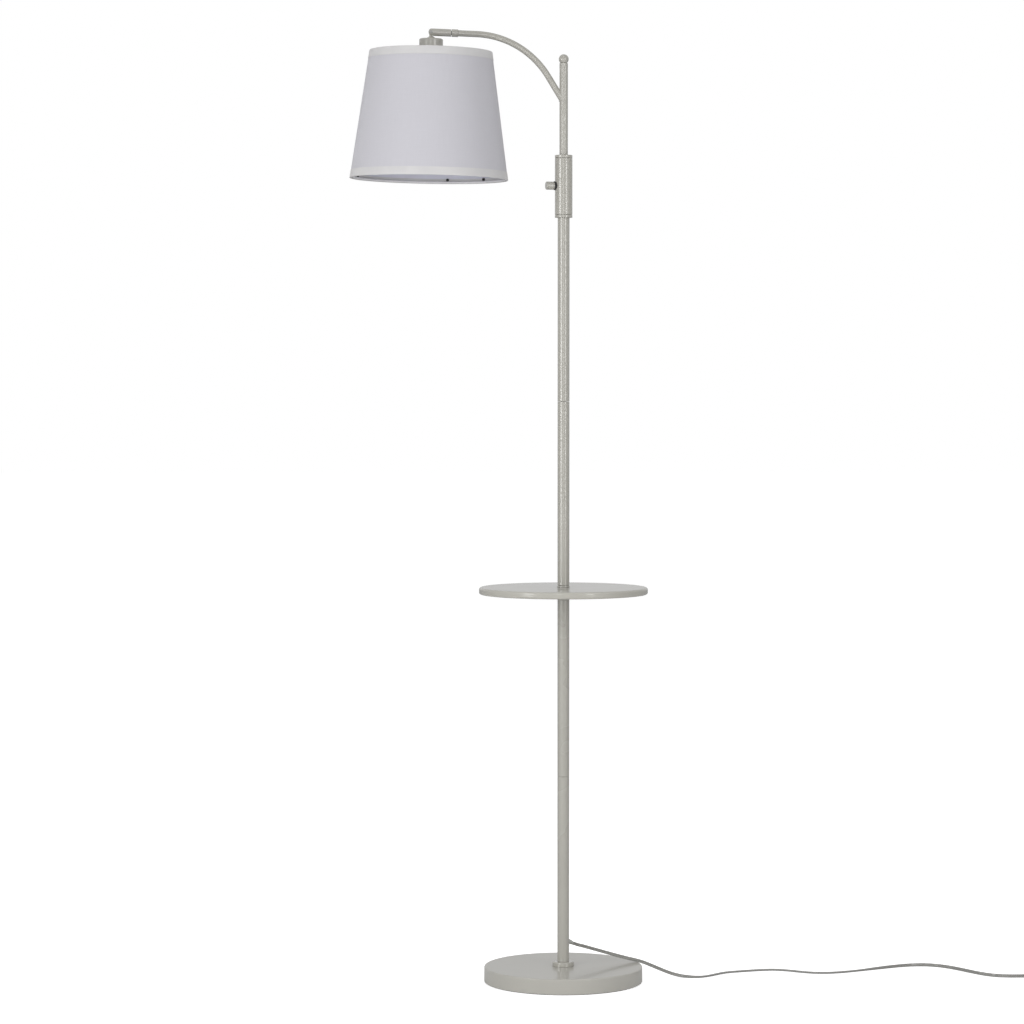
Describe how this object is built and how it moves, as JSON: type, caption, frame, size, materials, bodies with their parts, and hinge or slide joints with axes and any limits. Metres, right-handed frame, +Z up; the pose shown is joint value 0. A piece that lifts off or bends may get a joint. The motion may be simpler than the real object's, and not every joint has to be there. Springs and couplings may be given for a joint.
{
  "type": "floor lamp with table",
  "caption": "Grey floor lamp with a round weighted base, a sectioned pole through a small round table, and a height-adjustable stem whose bent arm carries a tilting tapered fabric shade.",
  "frame": {"origin": "middle of the base at floor level", "axes": "+Z up the pole; the arm and the shade point to -X, and the free lead leaves towards +X"},
  "size_m": [1.1841, 0.2737, 1.5242],
  "materials": {
    "paint": "satin grey enamel",
    "iron": "rough cast, unpainted",
    "zinc": "zinc-plated, dull",
    "brass": "stamped, dull",
    "table_lacquer": "satin grey lacquer over fibreboard",
    "rubber": "matt black",
    "phenolic": "dark brown moulding",
    "white_plastic": "matt white",
    "shade_cloth": "pale grey slub weave",
    "hem": "pale grey folded tape",
    "liner": "white styrene sheet",
    "clear_pvc": "clear over silver strands",
    "glass": "frosted inside"
  },
  "bodies": {
    "stand": {"base_pad": "rubber", "base_weight": "iron", "base_cover": "paint", "base_washer": "zinc", "base_nut": "zinc", "base_stud": "zinc", "foot_ring": "paint", "pole_section_1": "paint", "pole_section_2": "paint", "pole_section_3": "paint", "pole_section_4": "paint", "pole_inserts": "zinc", "pole_joiners": "zinc", "cord_relief": "clear_pvc", "pole_lead": "clear_pvc", "table_ring_lower": "paint", "table_top": "table_lacquer", "table_ring_upper": "paint", "table_stud": "zinc", "sleeve_cap_lower": "paint", "sleeve_body": "paint", "sleeve_cap_upper": "paint", "clamp_block": "zinc", "cord_run": "clear_pvc", "cord_coil": "clear_pvc", "cord_tie": "white_plastic", "plug_body": "clear_pvc", "plug_blades": "brass"},
    "clamp_washer_body": {"clamp_washer": "rubber"},
    "clamp_knob_body": {"clamp_screw": "zinc", "clamp_knob": "paint"},
    "stem_slider": {"stem_guide": "white_plastic"},
    "arm": {"stem_clips": "zinc", "stem_tube": "paint", "stem_finial": "paint", "arm_tube": "paint", "arm_collar": "paint", "swivel_stud": "zinc", "swivel_washer": "zinc", "stem_lead": "clear_pvc"},
    "swivel": {"swivel_barrel": "paint", "knuckle_fork": "paint", "tilt_screw": "zinc", "friction_washers": "rubber"},
    "head": {"knuckle_tongue": "paint", "socket_cup": "paint", "socket_body": "phenolic", "socket_shell": "brass", "socket_contact": "brass", "socket_ring": "phenolic", "bulb_cap": "brass", "bulb_glass": "glass", "shade_fitter": "zinc", "shade_bottom_wire": "zinc", "shade_liner": "liner", "shade_fabric": "shade_cloth", "shade_hem_top": "hem", "shade_hem_bottom": "hem", "shade_rim_nuts": "rubber"},
    "switch_key_body": {"switch_key": "phenolic"}
  },
  "joints": [
    {"name": "height_slide", "type": "slide", "parent": "stand", "child": "stem_slider", "axis": [0, 0, 1], "range_m": [-0.075, 0.115]},
    {"name": "stem_swivel", "type": "hinge", "parent": "stem_slider", "child": "arm", "pos_m": [0, 0, 1.3234], "axis": [0, 0, 1], "range_deg": [-170, 170]},
    {"name": "barrel_swivel", "type": "hinge", "parent": "arm", "child": "swivel", "pos_m": [-0.21068, 0, 1.51833], "axis": [-0.999, 0, 0.0436], "range_deg": [-90, 90]},
    {"name": "shade_tilt", "type": "hinge", "parent": "swivel", "child": "head", "pos_m": [-0.21068, 0, 1.51833], "axis": [0, 1, 0], "range_deg": [-5, 75]},
    {"name": "knob_turn", "type": "hinge", "parent": "clamp_washer_body", "child": "clamp_knob_body", "pos_m": [0, 0, 1.2746], "axis": [-0.9659, -0.2588, 0], "range_deg": [0, 720]},
    {"name": "clamp_travel", "type": "slide", "parent": "stand", "child": "clamp_washer_body", "axis": [-0.9659, -0.2588, 0], "range_m": [0, 0.0017]},
    {"name": "switch_turn", "type": "hinge", "parent": "head", "child": "switch_key_body", "pos_m": [-0.21125, 0, 1.48574], "axis": [-0.342, -0.9397, 0.006], "continuous": true}
  ],
  "couplings": [
    {"joint": "clamp_travel", "follows": "knob_turn", "m_per_rad": 0.00012732}
  ]
}
